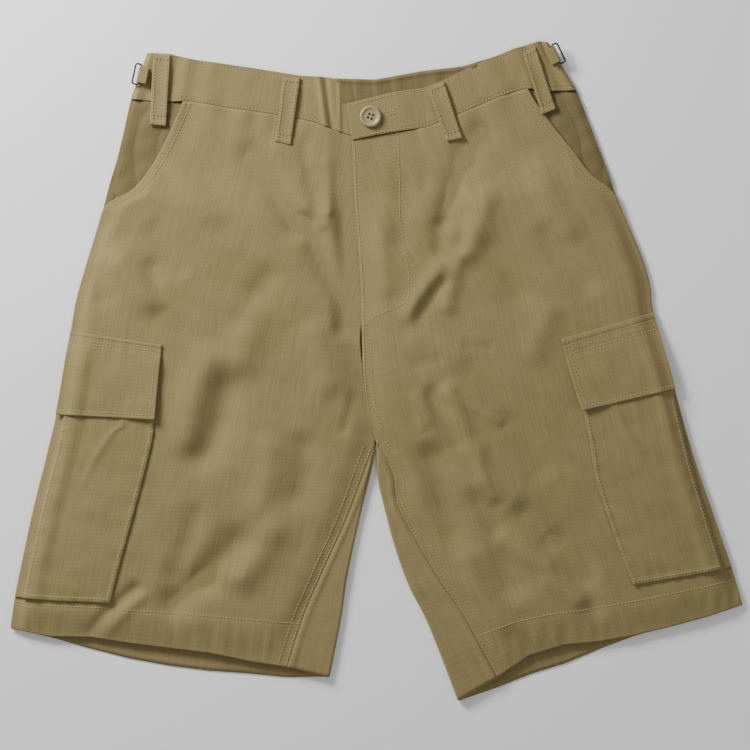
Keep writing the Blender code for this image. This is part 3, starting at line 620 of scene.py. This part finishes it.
def pocketShare(leg, c, row):
    # the pocket's outer and inner edges as shares of the leg, and the share at c between them
    innerTop, innerLow, outerTop, outerLow = pocketShares[leg.side]
    down = np.clip((row - leg.row("flapLow")) / (leg.row("bagLow") - leg.row("flapLow")), 0, 1)
    outer, inner = outerTop + (outerLow - outerTop) * down, innerTop + (innerLow - innerTop) * down
    return outer, inner, outer + (inner - outer) * c


def gussetLift(c):
    return (layers["cloth"] + layers["gap"]) * (1 - smoothStep((c - 0.12) / 0.14))


def pocketTop(leg, c, row):
    # the front's surface, lifted over the gusset, with felled edges, a slack bag and one long crease
    outer, inner, s = pocketShare(leg, c, row)
    x, y, z = frontTop(leg, s, row)
    w = (inner - outer) * leg.width(row) * leg.seam(row)
    fromEdge = np.minimum(c, 1 - c) * w
    fromFoot = leg.down(leg.row("bagLow")) - leg.down(row)
    seam = 0.45 * bell((fromEdge - 2) / 2.2) + 0.45 * bell((fromFoot - 2) / 2.2)
    bag = pocketLook["bag"] * np.sin(np.pi * np.clip(c, 0, 1)) ** 0.8 * smoothStep(fromFoot / 18)
    creaseAt = 0.68 - 0.12 * (row - leg.row("flapLow"))
    crease = 0.8 * bell((c - creaseAt) * w / 4) * smoothStep((leg.row("knee") - row) / 1.5)
    puck = 0.18 * bell(fromFoot / 9) * np.sin(c * w / 2.1)
    puck = puck + 0.15 * bell(fromEdge / 8) * np.sin(fromFoot / 2.4)
    z = z + layers["overlay"] + gussetLift(c) + layers["shell"] + 0.2
    return x, y, z + seam + bag + crease + puck + 0.25 * softNoise(x, y, 31, 5.2)


def flapTop(leg, c, t):
    # t runs from 0 at the sewn top edge to 1 at the free lower edge, c from -1 at the side to past the pocket
    look = flapLook
    top, low = leg.row("flapTop"), leg.row("flapLow")
    row = top + (low - top) * t
    outer, inner, s = pocketShare(leg, np.clip(c, 0, look["past"]), row)
    s = np.where(c < 0, outer * (1 + c), s)
    x, y, z = frontTop(leg, s, row)
    fromEdge = np.minimum((c + 0.1) * look["wide"], (look["past"] - c) * look["wide"])
    fromTop = t * look["deep"]
    fromLow = (1 - t) * look["deep"]
    seam = 0.45 * bell((fromLow - 2) / 2.0) + 0.35 * bell((fromEdge - 2) / 2.0)
    seam = seam + 0.5 * bell((fromTop - 3) / 2.4)
    sewn = -0.35 * bell((fromTop - 5.5) / 1.1) - 0.3 * bell((fromTop - 11.5) / 1.2)
    lifted = look["lift"] * smoothStep((c - 0.62) / 0.38) * smoothStep((t - 0.45) / 0.5)
    wave = 0.35 * softNoise(x, y, 29, 0.9) + 0.16 * bell((fromTop - 8) / 8) * np.sin(c * look["wide"] / 2.2)
    curl = look["curl"] * bell(((c - 1) * look["wide"] + (1 - t) * 60) / 5) * smoothStep((t - 0.72) / 0.2)
    over = smoothStep(t / 0.42) * (layers["cloth"] + look["clear"] + gussetLift(np.clip(c, 0, 1)))
    z = z + layers["overlay"] + over + layers["shell"]
    return x, y, z + seam + sewn + lifted + wave + curl * (leg is right)


def makePocket(leg):
    top, low, foot = leg.row("flapTop"), leg.row("flapLow"), leg.row("bagLow")
    c = np.linspace(0, 1, pocketLook["across"])[None, :]
    row = np.linspace(top + 0.5 * (low - top), foot, pocketLook["down"])[:, None]
    x, y, z = pocketTop(leg, c, row)
    pocket = makeShell(named("cargoPocket", leg), x, y, z, c * 88, leg.down(row) + 0 * c)
    declare(pocket, "cargo_pocket_" + leg.side)
    # the gusset's strip reaches from the side seam to a little under the pocket's outer edge
    row = np.linspace(low - gussetLook["aboveFlap"], foot, gussetLook["down"])[:, None]
    outer, inner, _ = pocketShare(leg, 0, row)
    g = np.linspace(0, 1, gussetLook["across"])[None, :]
    x, y, z = frontTop(leg, (outer + gussetLook["under"]) * g, row)
    z = z + layers["overlay"] + 0.5 + 0.5 * np.sin(np.pi * g) + 0.12 * np.sin(leg.down(row) / 6)
    gusset = makeShell(named("cargoGusset", leg), x, y, z, g * 15, leg.down(row) + 0 * g, gussetLook["wall"])
    declare(gusset, "cargo_gusset_" + leg.side)
    c = np.concatenate([np.linspace(-1, -0.1, 8), np.linspace(0, flapLook["past"], 90)])[None, :]
    t = np.linspace(0, 1, 84)[:, None]
    x, y, z = flapTop(leg, c, t)
    flap = makeShell(named("cargoFlap", leg), x, y, z, np.where(c < 0, c * 8, c * 84) + 0 * t, t * 78 + 0 * c)
    declare(flap, "cargo_flap_" + leg.side)


makePocket(right)
makePocket(left)

print("belt loops")
# corners: top outer, top inner, low inner, low outer
beltLoops = {
    "belt_loop_front_right": ((-84, 264), (-68.5, 263), (-77, 203), (-91, 206)),
    "belt_loop_front_left": ((45, 253.5), (60.5, 260), (77, 209), (63, 206)),
    "belt_loop_side_right": ((-200.5, 284.5), (-185, 283.5), (-189, 220), (-203.5, 221)),
    "belt_loop_side_left": ((131, 285.5), (142.5, 291.5), (161, 235), (148.5, 230)),
}
loopLook = {"bow": 1.0, "sides": 0.25, "wall": 1.1, "clear": 1.1, "long": 60, "flat": (0.034, 0.068)}


def loopTop(corners, across, down):
    # a doubled strip, bowed off the band, turned in at both ends, with a ridge between its stitched sides
    a, b, c, d = (np.array(p, float) for p in corners)
    across, down = np.broadcast_arrays(across, down)
    u, v = across[..., None], down[..., None]
    place = (a * (1 - u) + b * u) * (1 - v) + (d * (1 - u) + c * u) * v
    bow = loopLook["bow"] * np.sin(np.pi * down) + 0.35 * np.sin(down * 7)
    sides = -loopLook["sides"] * np.cos((across - 0.5) * 2 * np.pi)
    far = down * loopLook["long"]
    ends = 0.5 * bell((far - 58.2) / 2.2) - 0.45 * bell((far - 52.8) / 1.2) - 0.4 * bell((far - 5.4) / 1.2)
    z = bandTop + layers["gap"] + loopLook["clear"] + bow + sides + ends
    return place[..., 0], place[..., 1], z


for node, corners in beltLoops.items():
    across, down = np.linspace(0, 1, 18)[None, :], np.linspace(0, 1, 64)[:, None]
    x, y, z = loopTop(corners, across, down)
    if node == "belt_loop_front_left":
        z = z + tabLift(x)
    words = node.split("_")
    name = words[0] + "".join(word.title() for word in words[1:])
    piece = makeShell(name, x, y, z, across * 15 + 0 * down, down * 62 + 0 * across, loopLook["wall"])
    declare(piece, node)

print("stitching")
# Spun cotton thread a shade lighter than the cloth, each stitch a raised lozenge; sizes in mm
threadLook = {"pitch": 3.0, "long": 2.3, "wide": 0.8, "high": 0.5, "points": 400}
threadMaterial = makeMottled("spunCottonThread", "95885B", "AEA37B", 700.0, 2.0, 0.8)
# one stitch's corners as shares of its length, width and height, and its faces
stitchCorners = [(-0.5, 0, -0.2), (-0.3, -0.5, 0.1), (0.3, -0.5, 0.1), (0.5, 0, -0.2), (0.3, 0.5, 0.1),
                 (-0.3, 0.5, 0.1), (-0.25, 0, 1), (0.25, 0, 1), (0, 0, -0.6)]
stitchFaces = [(0, 1, 6), (1, 2, 7), (1, 7, 6), (2, 3, 7), (3, 4, 7), (4, 5, 6), (4, 6, 7), (5, 0, 6),
               (1, 0, 8), (2, 1, 8), (3, 2, 8), (4, 3, 8), (5, 4, 8), (0, 5, 8)]


def stitchAlong(points):
    # stitches set end to end along the line, each turned to the line's own direction
    look = threadLook
    points = np.asarray(points, float)
    length = np.concatenate([[0], np.cumsum(np.linalg.norm(np.diff(points, axis=0), axis=1))])
    count = max(int(length[-1] / look["pitch"]), 1)
    middle = (np.arange(count) + 0.5) * look["pitch"]
    behind, at, ahead = (
        np.stack([np.interp(middle + shift, length, points[:, k]) for k in range(3)], 1)
        for shift in (-0.6, 0, 0.6))
    along = ahead - behind
    along /= np.maximum(np.linalg.norm(along, axis=1, keepdims=True), 1e-6)
    side = np.cross(np.array([0, 0, 1.0]), along)
    up = np.cross(along, side)
    corners = [at + along * a * look["long"] + side * b * look["wide"] + up * c * look["high"]
               for a, b, c in stitchCorners]
    faces = np.array(stitchFaces)[None] + (np.arange(count) * len(stitchCorners))[:, None, None]
    return np.stack(corners, 1).reshape(-1, 3), faces.reshape(-1, 3)


def makeStitches(name, lines):
    points, faces, total = [], [], 0
    for line in lines:
        p, f = stitchAlong(line)
        points.append(p)
        faces.append(f + total)
        total += len(p)
    makeMesh(name, np.concatenate(points), np.concatenate(faces), threadMaterial, smooth=False)


def onTop(surface, lift=0.1):
    x, y, z = surface
    return np.stack([x, y, z + lift], -1)


def onFront(leg, shareLine, row):
    # shareLine is of the whole leg; it is turned to the panel's own share
    start = leg.opening(row)
    return onTop(frontTop(leg, (shareLine - start) / (leg.seam(row) - start), row))


def besideSeam(leg, first, last, inset):
    row = np.linspace(first, last, threadLook["points"])
    return onFront(leg, leg.seam(row) - inset / leg.width(row), row)


def legLines(leg):
    # hem, slash pocket's edge, and two rows beside the inseam
    n = threadLook["points"]
    hemRow = np.interp(leg.downTable[-1] - frontLook["hemLine"], leg.downTable, np.arange(leg.last + 1))
    hem = onFront(leg, np.linspace(0.005, leg.seam(hemRow) - 0.004, n), np.full(n, hemRow))
    row = np.linspace(0.05, leg.row("pocketEnd") - 0.12, n)
    mouth = onFront(leg, leg.opening(row) + 7.5 / leg.width(row), row)
    inseam = [besideSeam(leg, leg.row("crotch") + 0.1, leg.last - 0.05, inset) for inset in (2.2, 9.0)]
    return [hem, mouth, *inseam]


def pocketLines(leg):
    # pocket edges and foot, two rows under the flap's top, its lower edge and its inner side
    n = threadLook["points"]
    foot = leg.row("bagLow")
    row = np.linspace(leg.row("flapLow") - 0.1, foot - 0.03, n)
    found = [onTop(pocketTop(leg, np.full(n, c), row)) for c in (0.965, 0.03)]
    found.append(onTop(pocketTop(leg, np.linspace(0.03, 0.97, n), np.full(n, foot - 0.1))))
    found += [onTop(flapTop(leg, np.linspace(-0.6, 0.985, n), np.full(n, t))) for t in (0.075, 0.15, 0.92)]
    found.append(onTop(flapTop(leg, np.full(n, 0.95), np.linspace(0.04, 0.97, n))))
    return found


def bandLines(leg):
    n = threadLook["points"]
    share = np.linspace(0.02, 0.88 if leg is right else 1.10, n)
    return [onTop(frontBandTop(leg, share, np.full(n, rise))) for rise in (0.05, 0.93)]


def loopLines(corners):
    # one row down each side, and bartacks of several close rows at both ends
    down, across = np.linspace(0.03, 0.97, 60), np.linspace(0.1, 0.9, 30)
    found = [onTop(loopTop(corners, np.full(60, side), down)) for side in (0.14, 0.86)]
    rows = (0.05, 0.07, 0.09, 0.11, 0.86, 0.88, 0.9)
    return found + [onTop(loopTop(corners, across, np.full(30, row))) for row in rows]


def leftFrontAt(x, y):
    # share and row of a place on the left panel, found by stepping towards it
    row = np.full(np.shape(x), 3.0)
    share = np.full(np.shape(x), 0.95)
    for _ in range(25):
        px, py = left.point(share, row, "Front")
        share = share - (x - px) / left.width(row)
        row = np.clip(row - (y - py) / 42, 0, left.last)
    return share, row


def flyLines():
    # the curved outer row, the rows beside the front seam, the bartack and the bound buttonhole in the tab
    curve = np.array([(19.4, 215), (21, 162), (21.5, 133), (26, 108), (29, 86), (28.4, 67.5), (23, 60),
                      (8, 53), (-6, 47)])
    t = np.linspace(0, len(curve) - 1, threadLook["points"])
    found = [onFront(left, *leftFrontAt(throughRows(curve[:, 0], t), throughRows(curve[:, 1], t)))]
    found += [besideSeam(left, 0.1, 6.3, 2.0), besideSeam(left, 5.2, 6.9, 8.0)]
    for y in (41.1, 42, 42.9):
        found.append(onFront(left, *leftFrontAt(np.linspace(-13, -6, 20), np.full(20, y))))
    for rise in (0.44, 0.47, 0.53, 0.56):
        line = onTop(frontBandTop(left, np.linspace(0.8, 1.1, 400), np.full(400, rise)), 0.05)
        found.append(line[(line[:, 0] > 4) & (line[:, 0] < 17)])
    return found


for leg in (right, left):
    lines = legLines(leg) + pocketLines(leg) + bandLines(leg)
    for node, corners in beltLoops.items():
        if node.endswith(leg.side):
            lines += loopLines(corners)
    makeStitches(named("topstitching", leg), lines + (flyLines() if leg is left else []))

print("button, slides and their keepers")
# moulded urea resin, slightly glossy and mottled like horn
buttonMaterial = makeMottled("mouldedUreaTan", "8A7C58", "A2956F", 160.0, 4.0, 0.42)
# steel wire, chemically blackened: dark brown-black with worn spots
wireMaterial = makeMottled("blackenedSteelWire", "14110F", "4A4038", 420.0, 3.0, 0.4, 0.8)
hardParts = {"waist_button": buttonMaterial, "adjuster_slide_right": wireMaterial,
             "adjuster_slide_left": wireMaterial}
for node, material in hardParts.items():
    bpy.data.objects[node].data.materials.clear()
    bpy.data.objects[node].data.materials.append(material)

# Keepers: where each starts, and its turn in degrees from +X
keepers = {"right": (-205.5, 264.5, 168), "left": (154.5, 281.0, 25)}
keeperLook = {"long": 14.6, "reach": 7.0, "barR": 0.8, "wall": 0.9, "flat": (0.024, 0.016)}


def makeKeeper(side, x0, y0, turn):
    # a strip folded round the slide's inner bar: straight, half a circle, straight back
    look = keeperLook
    turn = math.radians(turn)
    barZ = bandTop + 2 * layers["gap"] + 1.0 + look["barR"]
    angle = np.linspace(-np.pi / 2, np.pi / 2, 15)
    along = np.linspace(-0.5, 0.5, 24)[:, None] * look["long"]
    straight = np.linspace(0, look["reach"], 12)
    inner = look["barR"] + layers["gap"]
    grids = []
    for radius in (inner + look["wall"], inner):
        across = np.concatenate([straight[:-1], look["reach"] + radius * np.cos(angle), straight[-2::-1]])
        z = barZ + np.concatenate([np.full(11, -radius), radius * np.sin(angle), np.full(11, radius)])
        x = x0 + across[None, :] * math.cos(turn) - along * math.sin(turn)
        y = y0 + across[None, :] * math.sin(turn) + along * math.cos(turn)
        grids.append(np.stack([x, y, z[None, :] + 0 * x], -1))
    u = np.linspace(0, 22, grids[0].shape[1])[None, :] + 0 * along
    piece = shellFrom("adjusterTab" + side.title(), grids[0], grids[1], u, along + 8 + 0 * u)
    declare(piece, "adjuster_tab_" + side)


for side, place in keepers.items():
    makeKeeper(side, *place)

print("floor and light")
# Soft daylight from the upper left, low enough to show the folds; places in m, powers in W
studio = {"world": 0.36, "floor": (0.93, 0.93, 0.93, 1), "floorSide": 8, "floorDrop": -0.0002}
lamps = {"key": ((-0.98, 1.02, 0.68), 0.5, 40), "fill": ((1.2, -0.6, 1.8), 1.5, 6)}

scene.world = scene.world or bpy.data.worlds.new("studio")
scene.world.use_nodes = True
background = scene.world.node_tree.nodes["Background"]
background.inputs[0].default_value = (1, 1, 1, 1)
background.inputs[1].default_value = studio["world"]


def areaLight(name, place, size, power):
    # a square lamp turned to face the origin
    data = bpy.data.lights.new(name, "AREA")
    data.size = size
    data.energy = power
    light = bpy.data.objects.new(name, data)
    light.location = place
    x, y, z = place
    light.rotation_euler = (math.atan2(math.hypot(x, y), z), 0, math.atan2(x, -y))
    scene.collection.objects.link(light)


for name, (place, size, power) in lamps.items():
    areaLight(name, place, size, power)

# matt white paper, which takes the shadow under the hems
floorMaterial, floorTree, floorShader = startMaterial("paperSweep")
floorShader.inputs["Base Color"].default_value = studio["floor"]
floorShader.inputs["Roughness"].default_value = 0.9
bpy.ops.mesh.primitive_plane_add(size=studio["floorSide"], location=(0, 0, studio["floorDrop"]))
floor = bpy.context.object
floor.name = "floor"
floor.data.materials.append(floorMaterial)
